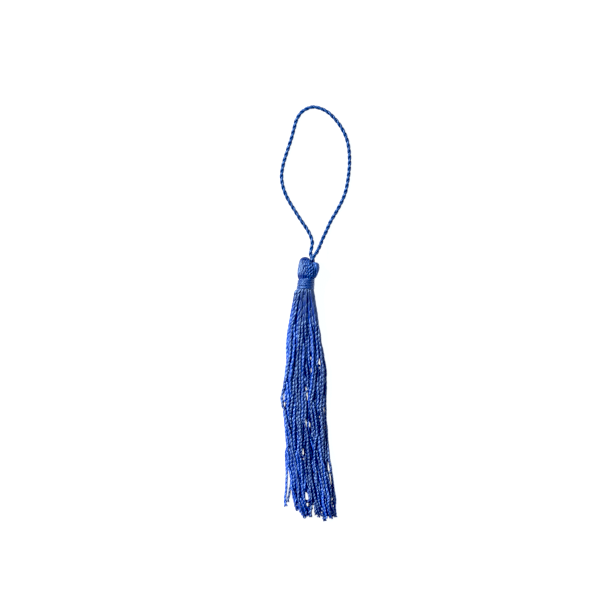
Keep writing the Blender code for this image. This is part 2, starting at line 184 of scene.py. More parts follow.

# %% [markdown]
# ## From rings to a mesh
# A tube is a grid of rings and sides, closed by a flat cap at each end, where the thread is cut. Every tube
# gets a map of its own: the first number goes round the ply and the second is the distance along it in
# millimetres, so the fibres of the material can follow the ply wherever it winds. Each thread also keeps one
# tone of its own, which on the fringe's roots and on the head also carries painted light and shade.

# %% Tubes joined into one piece
def make_piece(name, tubes, material, node):
    """One mesh from tubes, each (rings, walked, tone), where the tone is one number or one for each ring.
    Quads join neighbouring rings, and a cap closes each end.

    The piece rides on the root body, stands for the CAD node, which it hides, and takes the material given
    to it.
    """
    points, loops, sizes, around, along, tones, start = [], [], [], [], [], [], 0
    for rings, walked, tone in tubes:
        count, sides = rings.shape[:2]
        i, j = np.meshgrid(np.arange(count - 1), np.arange(sides), indexing="ij")
        here, beside = i * sides + j, i * sides + (j + 1) % sides
        quads = np.stack([here, here + sides, beside + sides, beside], axis=-1).reshape(-1)
        caps = np.concatenate([np.arange(sides), (count - 1) * sides + np.arange(sides)[::-1]])
        points.append(rings.reshape(-1, 3))
        loops.append(start + np.concatenate([quads, caps]))
        sizes.append(np.concatenate([np.full((count - 1) * sides, 4), [sides, sides]]))
        around.append(np.stack([j, j, j + 1, j + 1], axis=-1).reshape(-1) / sides)
        around.append(np.concatenate([np.arange(sides), np.arange(sides)[::-1]]) / sides)
        along.append(walked[np.stack([i, i + 1, i + 1, i], axis=-1).reshape(-1)])
        along.append(np.repeat(walked[[0, -1]], sides))
        tones.append(np.repeat(np.broadcast_to(tone, count), sides))
        start += count * sides
    points, loops, sizes = np.concatenate(points), np.concatenate(loops), np.concatenate(sizes)

    mesh = bpy.data.meshes.new(name)
    mesh.vertices.add(len(points))
    mesh.vertices.foreach_set("co", ((points + neck) * MM).astype(np.float32).ravel())
    mesh.loops.add(len(loops))
    mesh.loops.foreach_set("vertex_index", loops.astype(np.int32))
    mesh.polygons.add(len(sizes))
    mesh.polygons.foreach_set("loop_start", (np.cumsum(sizes) - sizes).astype(np.int32))
    mesh.update(calc_edges=True)
    mesh.shade_smooth()
    thread_map = mesh.uv_layers.new(name="along_the_thread")
    flat = np.stack([np.concatenate(around), np.concatenate(along)], axis=1)
    thread_map.uv.foreach_set("vector", flat.astype(np.float32).ravel())
    tone = mesh.attributes.new("tone", "FLOAT", "POINT")
    tone.data.foreach_set("value", np.concatenate(tones).astype(np.float32))
    mesh.materials.append(material)
    piece = bpy.data.objects.new(name, mesh)
    shelf.link(piece)
    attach(piece, "root")
    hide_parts(node)
    print(f"{name}: {len(tubes)} tubes, {int((sizes - 2).sum())} triangles")
    return piece


# %% [markdown]
# ## Viscose thread as a material
# Viscose is spun as endless, smooth and faintly see-through filaments, and dyed through. In bulk it shines
# almost like silk. The shine is not that of paint: a filament throws light out in a fan across its own
# length, so a bundle of them is bright in a band across the fibres and dull along them. The shader's
# anisotropy does this, with its tangent laid round the ply. The colour is a strong royal blue that each
# strand takes up a little differently.

# %% Colours and nodes
def linear(code):
    """An sRGB hex colour as the linear colour that the shader wants."""
    part = np.array([int(code[k : k + 2], 16) for k in (0, 2, 4)]) / 255
    return (*np.where(part <= 0.04045, part / 12.92, ((part + 0.055) / 1.055) ** 2.4), 1.0)


def add_node(tree, kind, settings, plugs):
    """Adds a node with its settings and fills its plugs: a socket is linked, and any other value is set."""
    new = tree.nodes.new(kind)
    for name, value in settings.items():
        setattr(new, name, value)
    for name, value in plugs.items():
        if isinstance(value, bpy.types.NodeSocket):
            tree.links.new(value, new.inputs[name])
        else:
            new.inputs[name].default_value = value
    return new


print("sRGB mid grey is linear", round(linear("808080")[0], 3))

# %% Dyed viscose filaments, twisted
FILAMENT_ROUND = 14.0  # filaments seen round one ply; real ones are ten times finer and would not show
FILAMENT_ALONG = 0.35  # their streaks in each millimetre along it
FILAMENT_SLANT = -0.3  # turns round the ply in each millimetre
FILAMENT_DYE = 0.35  # how far, of the way from deep to pale dye, filaments differ
FILAMENT_GLOSS = 0.08  # how much rougher or smoother than the rest they get
FILAMENT_RELIEF = 0.07  # mm that they stand out
DYE_PATCH = 9.0  # mm between paler and deeper stretches of one dye bath
PATCH_DYE = 0.35  # how far those differ
SHINE_TINT = "A6D2FF"  # light gets into dyed filaments, so their shine is faintly blue


def viscose(name, deep, pale, roughness, density, groove_shade, fan=0.6):
    """Dyed viscose filaments: two dye tones blended by thread, by patch and by filament, with painted shade
    in the grooves.

    The filaments are streaks of noise on the thread's own map, squeezed round the ply, stretched along it
    and slanted. The painted shade is the cosine of the way round the ply, which is one where the ply stands
    out furthest and minus one where it touches the other, so the grooves between the plies are painted
    deeper;
    groove_shade says how much it counts. Density is the index of refraction, which sets how strong the shine
    is, and fan is how far it spreads across the filaments rather than along them.
    """
    material = bpy.data.materials.new(name)
    material.use_nodes = True
    tree = material.node_tree
    tree.nodes.clear()
    where = add_node(tree, "ShaderNodeUVMap", {"uv_map": "along_the_thread"}, {})
    split = add_node(tree, "ShaderNodeSeparateXYZ", {}, {"Vector": where.outputs["UV"]})
    slanted = add_node(
        tree, "ShaderNodeMath", {"operation": "MULTIPLY_ADD"},
        {0: split.outputs["Y"], 1: FILAMENT_SLANT, 2: split.outputs["X"]},
    )
    fibre = add_node(
        tree, "ShaderNodeCombineXYZ", {}, {"X": slanted.outputs[0], "Y": split.outputs["Y"]}
    )
    laid = add_node(
        tree, "ShaderNodeMapping", {},
        {"Vector": fibre.outputs[0], "Scale": (FILAMENT_ROUND, FILAMENT_ALONG, 1.0)},
    )
    streak = add_node(
        tree, "ShaderNodeTexNoise", {"noise_dimensions": "2D"},
        {"Vector": laid.outputs[0], "Scale": 1.0, "Detail": 2.0, "Roughness": 0.6},
    )
    place = add_node(tree, "ShaderNodeTexCoord", {}, {})
    patch = add_node(
        tree, "ShaderNodeTexNoise", {},
        {"Vector": place.outputs["Object"], "Scale": 1.0 / (DYE_PATCH * MM), "Detail": 1.0},
    )
    tone = add_node(tree, "ShaderNodeAttribute", {"attribute_name": "tone"}, {})
    patched = add_node(
        tree, "ShaderNodeMath", {"operation": "MULTIPLY_ADD"},
        {0: patch.outputs["Fac"], 1: PATCH_DYE, 2: tone.outputs["Fac"]},
    )
    # painted shade: the dye is drawn deeper towards the grooves between the plies, where shade falls
    round_it = add_node(
        tree, "ShaderNodeMath", {"operation": "MULTIPLY"}, {0: split.outputs["X"], 1: 2 * math.pi}
    )
    outermost = add_node(tree, "ShaderNodeMath", {"operation": "COSINE"}, {0: round_it.outputs[0]})
    groove_shaded = add_node(
        tree, "ShaderNodeMath", {"operation": "MULTIPLY_ADD"},
        {0: outermost.outputs[0], 1: groove_shade, 2: patched.outputs[0]},
    )
    streaked = add_node(
        tree, "ShaderNodeMath", {"operation": "MULTIPLY_ADD", "use_clamp": True},
        {0: streak.outputs["Fac"], 1: FILAMENT_DYE, 2: groove_shaded.outputs[0]},
    )
    dye = add_node(
        tree, "ShaderNodeMix", {"data_type": "RGBA"},
        {0: streaked.outputs[0], 6: linear(deep), 7: linear(pale)},
    )
    gloss = add_node(
        tree, "ShaderNodeMapRange", {},
        {
            "Value": streak.outputs["Fac"], "To Min": roughness - FILAMENT_GLOSS,
            "To Max": roughness + FILAMENT_GLOSS,
        },
    )
    ridge = add_node(
        tree, "ShaderNodeBump", {},
        {"Height": streak.outputs["Fac"], "Strength": 1.0, "Distance": FILAMENT_RELIEF * MM},
    )
    cross = add_node(
        tree, "ShaderNodeTangent", {"direction_type": "UV_MAP", "uv_map": "along_the_thread"}, {}
    )
    shader = add_node(
        tree, "ShaderNodeBsdfPrincipled", {},
        {
            "Base Color": dye.outputs[2], "Roughness": gloss.outputs[0], "Normal": ridge.outputs[0],
            "Tangent": cross.outputs[0], "IOR": density, "Metallic": 0.0, "Anisotropic": fan,
            "Specular IOR Level": 1.0, "Specular Tint": linear(SHINE_TINT),
        },
    )
    add_node(tree, "ShaderNodeOutputMaterial", {}, {"Surface": shader.outputs[0]})
    print(f"{name}: {len(tree.nodes)} nodes")
    return material


# %% [markdown]
# ## The hanging loop
# The loop is a cord of two thick plies, which leaves the cleft of the head, runs round in an open curve on
# the table and goes back in over its own start. It is limp, so it lies wherever it was dropped. A plain
# curve object with a round bevel would show no lay, so the two plies are wound like the thread's, only
# coarser.

# %% The cord's route
CORD_DIAMETER = 1.12
CORD_SWELL = 1.07  # lying loose, its plies swell a little past the diameter that it has when it is taut
CORD_LAY = 3.54  # one whole turn of a ply; its beads show half of it apart
CORD_PLIES = (0.47, 0.53, 0.72)  # narrow round the cord, so a deep groove parts them
CORD_TONES = (0.2, 0.35)  # one ply took up a little less dye
CORD_RINGS = 640
CORD_SIDES = 12
CORD_START = 0.4  # radians round it
CORD_ROUTE = (
    # x, y, z of the middle line, from the lower leg at the head round to the upper one
    (2.10, 7.80, 2.30), (2.10, 8.60, 2.20), (1.98, 9.40, 2.15), (1.45, 10.30, 2.05),
    (1.24, 11.50, 1.90), (1.52, 13.10, 1.60), (1.76, 14.80, 1.25), (1.22, 16.90, 0.95),
    (0.10, 19.00, 0.70), (-1.85, 21.90, 0.60), (-4.20, 25.60, 0.60), (-6.00, 28.70, 0.60),
    (-7.25, 31.90, 0.60), (-7.76, 35.30, 0.60), (-7.25, 39.00, 0.60), (-6.10, 42.90, 0.60),
    (-4.75, 47.00, 0.60), (-3.84, 50.40, 0.60), (-3.10, 52.90, 0.60), (-1.35, 55.45, 0.60),
    (1.75, 56.85, 0.60), (4.60, 56.30, 0.60), (6.80, 55.05, 0.60), (8.99, 52.90, 0.60),
    (10.82, 50.40, 0.60), (12.15, 47.70, 0.60), (12.95, 44.80, 0.60), (13.28, 41.20, 0.60),
    (13.20, 37.80, 0.60), (12.75, 34.00, 0.60), (12.00, 30.40, 0.60), (10.85, 27.50, 0.60),
    (9.20, 24.40, 0.60), (7.40, 21.30, 0.65), (6.05, 18.30, 0.90), (4.90, 15.80, 1.50),
    (4.00, 13.50, 2.40), (3.10, 11.75, 3.15), (2.25, 10.60, 3.50), (1.68, 9.65, 3.55),
    (1.45, 8.85, 3.40), (1.40, 8.00, 3.10),
)

cord_line = smooth_through(CORD_ROUTE, CORD_RINGS)
# hard twist turns the filaments every way, so the eye gets no long band of shine but a weak, soft glint on
# each bead, and between the beads the grooves get painted shade
cord_material = viscose(
    "twisted_viscose_cord", deep="061A4A", pale="163E78", roughness=0.40, density=1.42, groove_shade=0.36, fan=0.0
)
cord_width = CORD_SWELL * CORD_DIAMETER
plies, walked = twisted(cord_line, cord_width, CORD_LAY, CORD_START, CORD_SIDES, CORD_PLIES)
cord_tubes = [(ply, walked, tone) for ply, tone in zip(plies, CORD_TONES)]
cord = make_piece("hanging_cord", cord_tubes, cord_material, "hanging_loop")

# %% [markdown]
# ## How forty strands fall into a heap
# Strands that are placed by hand look combed. Here they settle: each starts at its own place in the bound
# neck, then, round after round, it bends smoothly, sags, drifts towards its own aim, and is pushed off its
# neighbours. The slits where the table shows, the outline and the two strays are small tables. The random
# numbers are seeded, so the heap is the same in every run, and it is the one that the solids have.

# %% Tables of the heap
STRAND_COUNT = 40
STRAND_PITCH = 0.87
STRAND_SEED = 94
NECK_HEIGHT = 2.72  # from the table to the middle of the neck
ROOT_DROP = 1.8  # where the heap's lines start, below the binding
ROOT_PITCH = 0.75  # the strands are squeezed there
ROOT_SPREAD = 9.0  # and free again so far below it
STATION_STEP = 2.8
ROOT_MIDDLE = np.array([-0.70, NECK_HEIGHT])
ROOT_OVAL = np.array([3.35, 2.60])
INNER_OVAL = ROOT_OVAL - 0.5 * STRAND_PITCH
FRINGE_EDGES = np.array([
    # drop, left, right
    (1.8, -4.0, 2.7), (4.0, -4.4, 2.9), (9.2, -5.1, 3.6), (18.4, -6.1, 5.1), (24.6, -6.6, 6.3),
    (33.9, -8.0, 6.2), (37.0, -7.3, 6.1), (49.4, -6.2, 7.0), (56.0, -6.0, 7.9), (60.3, -5.2, 8.6),
    (65.0, -4.3, 9.1), (70.0, -2.4, 9.3),
])
FRINGE_TIPS = np.array([
    # side, drop
    (-4.0, 65.6), (-2.2, 69.4), (-0.3, 70.8), (3.0, 69.6), (5.5, 72.0), (9.2, 70.2),
])
TIP_SPREAD = 4.0  # mm that a strand may end above that line
FRINGE_SLITS = np.array([
    # side, top, bottom, lean, width
    (3.95, 21.4, 25.8, 0.0, 0.5), (1.35, 23.8, 26.0, 0.0, 0.3), (0.1, 29.6, 33.8, 0.2, 0.6),
    (-7.05, 31.6, 36.0, -0.1, 0.4), (0.2, 40.2, 43.4, 0.9, 0.4), (-1.05, 48.8, 52.4, 0.2, 0.4),
    (6.9, 51.8, 61.2, 1.4, 0.4), (-5.25, 55.6, 66.0, 0.2, 0.7), (0.3, 62.2, 68.6, 0.7, 0.8),
    (7.9, 64.0, 66.6, 0.2, 0.4), (2.3, 66.2, 74.0, 0.1, 0.9),
])
STRAYS = (
    # rank from the left, leaves, side, tip
    (0, 48.0, -6.0, 66.9),
    (3, 60.0, -5.5, 65.6),
)
WANDER = 0.095  # share of the bundle's width
WANDER_CYCLES = (0.7, 1.7, 3.3)
SETTLE_ROUNDS = 600
PARTING_ROUNDS = 150  # the last ones, in which the strands only give way
STRAIGHTEN = 0.2  # share of its bend that a strand loses in a round
TIP_STRAIGHTEN = 0.3
DRIFT = 0.04  # share of the way to its aim
SAG = 0.03  # mm
SHAKE = 0.02  # mm
PARTING = 0.4  # share of an overlap that each of two strands gives way
SLIT_PARTING = 0.5  # share of the way out of a slit
EDGE_PARTING = 0.5  # share of the way back inside the outline
SLIT_REACH = 0.62  # share of its length that a slit reaches from its middle


# %% Where each strand would lie on its own
def aimed_lines(drop, roots, random):
    """Aims by strand and station: a share of the bundle's width, plus a slow wander of three sine waves that
    grows down the fringe. Also the leftmost place allowed, the right edge, and where each strand is cut."""
    left = np.interp(drop, FRINGE_EDGES[:, 0], FRINGE_EDGES[:, 1]) + 0.5 * STRAND_PITCH
    right = np.interp(drop, FRINGE_EDGES[:, 0], FRINGE_EDGES[:, 2]) - 0.5 * STRAND_PITCH
    order = np.argsort(roots[:, 0])
    share = np.empty(STRAND_COUNT)
    share[order] = (np.arange(STRAND_COUNT) + 0.5) / STRAND_COUNT
    fall = (drop - drop[0]) / (drop[-1] - drop[0])
    phase = random.uniform(0, 2 * math.pi, (STRAND_COUNT, len(WANDER_CYCLES)))
    wander = np.zeros((STRAND_COUNT, len(drop)))
    for k, cycles in enumerate(WANDER_CYCLES):
        wander += np.sin(2 * math.pi * cycles * fall + phase[:, k : k + 1]) / (k + 1)
    share = share[:, None] + WANDER * wander * np.minimum(1.0, 2.5 * fall)
    aim = left + (right - left) * np.clip(share, 0.0, 1.0)
    tips = np.interp(aim[:, -1], FRINGE_TIPS[:, 0], FRINGE_TIPS[:, 1])
    tips = tips - TIP_SPREAD * random.random(STRAND_COUNT) ** 1.5
    leftmost = np.repeat(left[None], STRAND_COUNT, axis=0)
    for rank, leaves, side, tip in STRAYS:
        strand = order[rank]
        drift = np.clip(2.0 * (drop - leaves) / (tip - leaves), 0.0, 1.0)
        aim[strand] += drift * (side - aim[strand])
        leftmost[strand] = np.minimum(leftmost[strand], side - 0.5)
        tips[strand] = tip
    return aim, leftmost, right, tips


# %% Giving way to neighbours and gaps
def off_neighbours(places, paired, pitch):
    """By strand and station: a step away from each paired strand nearer than the pitch, as long as what is
    missing of it, all summed."""
    apart = places[:, None] - places
    distance = np.linalg.norm(apart, axis=3) + 1e-9
    push = np.where(paired, np.maximum(pitch - distance, 0.0), 0.0) / distance
    return (apart * push[..., None]).sum(axis=1)


def out_of_gaps(across, middle, room):
    """By strand and station: a step sideways from each gap's middle, as long as what is missing of the room
    there, all summed."""
    beside = across[None] - middle[:, None]
    short = np.maximum(room[:, None] - np.abs(beside), 0.0)
    return (np.where(beside < 0, -1.0, 1.0) * short).sum(axis=0)


# %% The heap settles
def settle_strands():
    """Places (strand, station, across and above) after the rounds of bending, sagging, drifting and parting.

    The seats lie on a spiral of golden angles, the reach as the root of their number, which fills the oval
    evenly. Their height sinks to a quarter along the first five eighths of the fringe.
    """
    random = np.random.default_rng(STRAND_SEED)
    longest = FRINGE_TIPS[:, 1].max()
    drop = np.linspace(ROOT_DROP, longest, int((longest - ROOT_DROP) / STATION_STEP) + 1)
    seat = np.arange(STRAND_COUNT)
    reach, angle = np.sqrt((seat + 0.5) / STRAND_COUNT), seat * math.pi * (3 - math.sqrt(5))
    roots = ROOT_MIDDLE + ROOT_OVAL * np.stack([reach * np.cos(angle), reach * np.sin(angle)], axis=1)
    aim, leftmost, right, tips = aimed_lines(drop, roots, random)
    fall = (drop - drop[0]) / (drop[-1] - drop[0])
    height = roots[:, 1:] * (1 - 0.75 * np.minimum(1.0, 1.6 * fall))
    place = np.stack([aim, height], axis=2)
    place[:, 0] = roots
    side, top, bottom, lean, width = (column[:, None] for column in FRINGE_SLITS.T)
    share = (drop - top) / (bottom - top)
    opening = np.where(np.abs(share - 0.5) < SLIT_REACH, 0.5 * (width + STRAND_PITCH), 0.0)
    slit = side + lean * (share - 0.5)
    alive = drop <= tips[:, None] + STATION_STEP
    paired = alive[:, None] & alive & ~np.eye(STRAND_COUNT, dtype=bool)[:, :, None]
    squeeze = np.clip(1 - (drop - ROOT_DROP) / ROOT_SPREAD, 0.0, 1.0)
    pitch = STRAND_PITCH - (STRAND_PITCH - ROOT_PITCH) * squeeze
    for step in range(SETTLE_ROUNDS):
        ease = min(1.0, 1.25 * (1.0 - step / SETTLE_ROUNDS))
        if step < SETTLE_ROUNDS - PARTING_ROUNDS:
            bend = 0.5 * (place[:, :-2] + place[:, 2:]) - place[:, 1:-1]
            place[:, 1:-1] += STRAIGHTEN * ease * bend
            place[:, -1] += TIP_STRAIGHTEN * ease * (2 * place[:, -2] - place[:, -3] - place[:, -1])
            place[..., 0] += DRIFT * ease * (aim - place[..., 0])
            place[:, 1:, 1] -= SAG * ease
            place[:, 1:] += random.normal(0.0, SHAKE * ease, place[:, 1:].shape)
        place += PARTING * off_neighbours(place, paired, pitch)
        place[..., 0] += SLIT_PARTING * out_of_gaps(place[..., 0], slit, opening)
        place[..., 0] += EDGE_PARTING * (np.clip(place[..., 0], leftmost, right) - place[..., 0])
        place[..., 1] = np.maximum(place[..., 1], 0.5 * STRAND_PITCH)
        off = (place[:, 0] - ROOT_MIDDLE) / INNER_OVAL
        place[:, 0] = ROOT_MIDDLE + INNER_OVAL * off / np.maximum(1.0, np.linalg.norm(off, axis=1))[:, None]
    return drop, place, tips, (place[:, 0] - ROOT_MIDDLE) / INNER_OVAL


drop, place, tips, seat_off = settle_strands()
print(f"heap: {STRAND_COUNT} strands, highest middle line {place[..., 1].max():.2f} mm up")

# %% [markdown]
# ## Finer settling
# The first settling has few stations, as the solids need few faces. A second one moves the same strands a
# little: it has a station for each millimetre, lays a few more strands underneath, as there are in the real
# hank, so that the table shows only where it should, and presses the gaps open like lenses. Each gap pushes
# on the strands beside it by a bell curve of the way along it, so none of them gets a kink.

# %% Tables of the finer settling
STRAND_WIDTH = 0.81
FINE_PITCH = 0.87
FINE_SQUEEZE = 0.25  # share of the pitch that is lost at the roots
FINE_STEP = 1.0
FINE_ROUNDS = 140
FINE_STRAIGHTEN = 0.15
FINE_DRIFT = 0.02
FINE_SAG = 0.01
FINE_PARTING = 0.35
FINE_GAP_PARTING = 0.6
UNDER_COUNT = 14
UNDER_INSET = 0.4  # mm inside the heap's edges
UNDER_WAVE = 9.0  # mm; a whole wave is six times that
UNDER_SHORTER = (0.5, 6.0)  # mm that they end above the tips
GAPS = np.array([
    # side, top, bottom, lean, width
    (1.33, 19.4, 21.6, 0.0, 0.40), (3.95, 21.2, 24.4, 0.0, 0.80), (1.50, 24.2, 25.3, 0.0, 0.25),
    (0.05, 29.8, 33.6, 0.6, 0.55), (-7.05, 31.2, 36.4, -0.1, 0.65), (5.40, 36.0, 37.6, 0.0, 0.30),
    (3.90, 38.0, 39.8, 0.0, 0.30), (-0.15, 39.8, 42.0, 0.3, 0.40), (0.90, 40.4, 42.6, 0.2, 0.40),
    (-1.08, 48.6, 52.6, 0.2, 0.50), (7.10, 52.0, 60.6, 1.3, 0.50), (-5.45, 55.6, 65.4, 0.1, 0.90),
    (0.10, 61.0, 67.8, 0.5, 1.00), (7.90, 63.8, 66.4, 0.1, 0.40), (2.15, 65.6, 76.0, 0.2, 1.10),
    (4.55, 67.4, 76.0, 0.0, 0.85),
])
GAP_FADES = 0.04  # a gap pushes no more where its bell has sunk below this
CUT_LINE = np.array([
    # side, drop where the longest strands end
    (-4.2, 64.6), (-3.0, 66.8), (-0.3, 70.9), (0.5, 69.4), (1.3, 70.3), (1.7, 66.4), (2.7, 66.4),
    (3.2, 69.6), (4.0, 70.6), (4.3, 67.8), (4.9, 67.8), (5.4, 72.0), (6.4, 69.8), (7.7, 70.7), (9.1, 70.2),
])
CUT_STATION = -3  # counted from the end, where a strand's side is read for the cut
CUT_LEFT = -4.6  # further left the strays keep the tips that they have
CUT_SHORTER = 3.0  # mm that a strand may end above the line
LAST_STRAY = (58.0, -5.85, 65.6)  # leaves, side and tip: it slants across to the other stray
character = np.random.default_rng(7)


# %% The first heap at other stations, the gaps, and the strands underneath
def first_heap_at(stations):
    """The first heap's places at other stations, on straight lines between its own."""
    return np.stack([
        np.stack([np.interp(stations, drop, strand[:, axis]) for axis in (0, 1)], axis=1) for strand in place
    ])


def gap_clearance(fall):
    """Each gap's middle and the room it wants on either side, by station: the strand's half width and the
    gap's together, falling as a bell curve to the strand's alone at the gap's ends."""
    side, top, bottom, lean, width = (column[:, None] for column in GAPS.T)
    share = 2 * (fall - top) / (bottom - top) - 1
    most = 0.5 * (width + STRAND_WIDTH)
    bell = (0.5 * STRAND_WIDTH / most) ** (share**2)
    return side + 0.5 * lean * share, np.where(bell > GAP_FADES, most * bell, 0.0)


def strands_underneath(fall, left, right):
    """Places and seats of the strands underneath: each keeps its share of the heap's width, plus a slow sine
    wave, and lies on the table. Its seat is on the under side of the neck's oval, and blends into that."""
    share = ((np.arange(UNDER_COUNT) + 0.5) / UNDER_COUNT)[:, None]
    phase = character.uniform(0, 2 * math.pi, (UNDER_COUNT, 1))
    share = share + 0.03 * np.sin(fall / UNDER_WAVE + phase)
    across = left + UNDER_INSET + (right - left - 2 * UNDER_INSET) * share
    lying = np.stack([across, 0.5 * STRAND_WIDTH + 0 * share * fall], axis=2)
    arc = math.pi * (1.1 + 0.8 * share[:, 0])
    seats = 0.9 * np.stack([np.cos(arc), np.sin(arc)], axis=1)
    rooted = ROOT_MIDDLE + (ROOT_OVAL - UNDER_INSET) * seats
    blend = np.clip((fall - fall[0]) / ROOT_SPREAD, 0.0, 1.0)[:, None]
    return (1 - blend) * rooted[:, None] + blend * lying, seats


# %% The second rounds
def settle_finely():
    """Fine places (strand, station, across and above) of all strands, with their tips and seats."""
    fall = np.arange(ROOT_DROP, FRINGE_TIPS[:, 1].max() + FINE_STEP, FINE_STEP)
    left = np.interp(fall, FRINGE_EDGES[:, 0], FRINGE_EDGES[:, 1]) + 0.5 * STRAND_WIDTH
    right = np.interp(fall, FRINGE_EDGES[:, 0], FRINGE_EDGES[:, 2]) - 0.5 * STRAND_WIDTH
    under, seats = strands_underneath(fall, left, right)
    under_tips = np.interp(under[:, -1, 0], FRINGE_TIPS[:, 0], FRINGE_TIPS[:, 1])
    under_tips = under_tips - character.uniform(*UNDER_SHORTER, UNDER_COUNT)
    all_tips = np.concatenate([tips, under_tips])
    heap = np.concatenate([first_heap_at(fall), under])
    home = heap.copy()
    alive = fall <= all_tips[:, None] + FINE_STEP
    paired = alive[:, None] & alive & ~np.eye(len(heap), dtype=bool)[:, :, None]
    tight = np.clip(1 - (fall - fall[0]) / ROOT_SPREAD, 0.0, 1.0)
    pitch = FINE_PITCH * (1 - FINE_SQUEEZE * tight)
    middle, room = gap_clearance(fall)
    edge = np.minimum(left, home[..., 0])
    for _ in range(FINE_ROUNDS):
        heap[:, 1:-1] += FINE_STRAIGHTEN * (0.5 * (heap[:, :-2] + heap[:, 2:]) - heap[:, 1:-1])
        heap[..., 0] += FINE_DRIFT * (home[..., 0] - heap[..., 0])
        heap[:, 1:, 1] -= FINE_SAG
        heap[:, 1:] += FINE_PARTING * off_neighbours(heap, paired, pitch)[:, 1:]
        heap[..., 0] += FINE_GAP_PARTING * out_of_gaps(heap[..., 0], middle, room)
        heap[..., 0] += EDGE_PARTING * (np.clip(heap[..., 0], edge, right) - heap[..., 0])
        heap[..., 1] = np.maximum(heap[..., 1], 0.5 * STRAND_WIDTH)
    return fall, heap, all_tips, np.concatenate([seat_off, seats])


fall, heap, all_tips, all_seats = settle_finely()
near_cut = heap[:, CUT_STATION, 0]
cut = np.interp(near_cut, CUT_LINE[:, 0], CUT_LINE[:, 1]) - CUT_SHORTER * character.random(len(heap)) ** 2.5
all_tips = np.where(near_cut < CUT_LEFT, all_tips, cut)
leaves, side, tip = LAST_STRAY
stray, late = np.argmin(np.abs(all_tips[:STRAND_COUNT] - tip)), fall > leaves
heap[stray, late, 0] = np.interp(fall[late], [leaves, tip], [heap[stray, late, 0][0], side])
moved = np.linalg.norm(heap[:STRAND_COUNT, ::3] - first_heap_at(fall[::3]), axis=2)
print(f"finer heap: {len(heap)} strands, highest middle line {heap[..., 1].max():.2f} mm up")
print(f"its first {STRAND_COUNT} strands moved {moved.mean():.2f} mm on average")

# %% [markdown]
# ## The fringe
# Under the binding the strands are squeezed close together and drawn nearly straight, so their plies lie
# flat there, and just below it they swell out in a shoulder. Only the leftmost ones bulge out at once, and
# show their lay from the start. Further down each is free: no two have quite the same thickness or lay, and
# twist that was never steamed out leaves a slight waviness. At the cut the plies spring apart. Strands could
# be copies of one, but the eye finds copies at once, so each is wound along its own line, with its own
# random numbers.

# %% Tables of the strands
STRAND_PLIES = (0.38, 0.62, 0.84)  # softly twisted: the groove between the plies is shallow
FLAT_PLIES = (0.36, 0.64, 0.92)  # drawn tight: they lie flat and hardly show
STRAND_LAY = 2.55
LAY_DROP = [1.0, 5.0, 11.0, 35.0, 50.0, 70.0]
LAY_SHARE = [4.0, 2.6, 1.0, 1.0, 0.90, 0.84]  # long where the strands are drawn straight
NECK_FAN = np.array([
    # drop, middle, share of the root's place across and above, thickness
    (-1.4, -0.20, 0.66, 0.90, 0.90),
    (-0.2, -0.38, 0.76, 0.92, 0.96),
    (0.5, -0.50, 0.84, 0.89, 1.04),
])
NECK_BULGE = np.array([0.0, 0.25, 0.60])  # how far the leftmost strands stand out, row by row
LEFT_BULGE = 0.8  # and how far they follow the heap's own bulge
LEFT_LOOSE = 0.85  # how much of the drawing straight they escape
SHOULDER = (6.0, 8.0)  # drops from which the heap alone says where a strand lies, across and above
THICK_DROP = [*NECK_FAN[:, 0], ROOT_DROP, 6.0, 12.0, 30.0]
THICKNESS = [*NECK_FAN[:, 4], 1.10, 1.05, 0.95, 1.0]
RIPPLE_LENGTH = (3.0, 8.0)
RIPPLE_SIZE = (0.02, 0.07)
RIPPLE_FROM = 12.0  # drop where all the waviness is there
WIDTH_SPREAD = (0.92, 1.05)
LAY_SPREAD = (0.9, 1.15)
ANY_TURN = (0.0, 6.28)  # radians
FLAT_DROP = 2.0  # down to here the plies lie flat
ROUNDING = 9.0  # and so much further down they have their full shape
SPRING_OPEN = 0.5  # share by which the plies part at the cut
SPRING_LENGTH = 2.0
DYE_SPREAD = (-0.85, 0.40)  # a strand's own tone, from the deepest to the palest
ROOT_SHADE = ([0.5, 4.0], [-0.75, -0.30])  # painted shade: darker at the binding, where the strands stand closest
ROOT_SHADE_REACH = 8.0
DEEP_STREAK = (0.25, 2.8, 1.4)  # one streak of the fringe: how much deeper, side, reach
RINGS, SIDES = 10, 8  # of a ply, in each lay and round it
UNDER_RINGS, UNDER_SIDES = 8, 6  # and of one underneath


# %% One strand's line
def strand_line(k, rings_in_a_lay):
    """Middle line of a strand: out of the binding by the fan's rows, then straight to where it lies freely,
    and on through its settled stations. Only the leftmost bulge out at once, as they did in the heap."""
    bulge = LEFT_BULGE * np.clip((-all_seats[k, 0] - 0.4) / 0.4, 0.0, 1.0)
    fan = np.stack([
        NECK_FAN[:, 1] + INNER_OVAL[0] * NECK_FAN[:, 2] * all_seats[k, 0] - bulge * NECK_BULGE,
        -NECK_FAN[:, 0],
        ROOT_MIDDLE[1] + INNER_OVAL[1] * NECK_FAN[:, 3] * all_seats[k, 1],
    ], axis=1)
    stations = np.append(fall[fall < all_tips[k] - 0.4 * FINE_STEP], all_tips[k])
    apart, lying, out = fall > SHOULDER[0], fall > SHOULDER[1], NECK_FAN[-1, 0]
    straight = np.interp(stations, [out, *fall[apart]], [fan[-1, 0], *heap[k, apart, 0]])
    across = straight + bulge * (np.interp(stations, fall, heap[k, :, 0]) - straight)
    above = np.interp(stations, [out, *fall[lying]], [fan[-1, 2], *heap[k, lying, 1]])
    points = np.vstack([fan, np.stack([across, -stations, above], axis=1)])
    return smooth_through(points, int(walk(points)[-1] / STRAND_LAY * rings_in_a_lay))


def ripple(walked):
    """A slight waviness: two sine waves of random length and start."""
    length, start = character.uniform(*RIPPLE_LENGTH, 2), character.uniform(0, 2 * math.pi, 2)
    return np.sin(2 * math.pi * walked[:, None] / length + start).sum(axis=1)


print(f"a strand from the middle is {walk(strand_line(0, RINGS))[-1]:.1f} mm long")

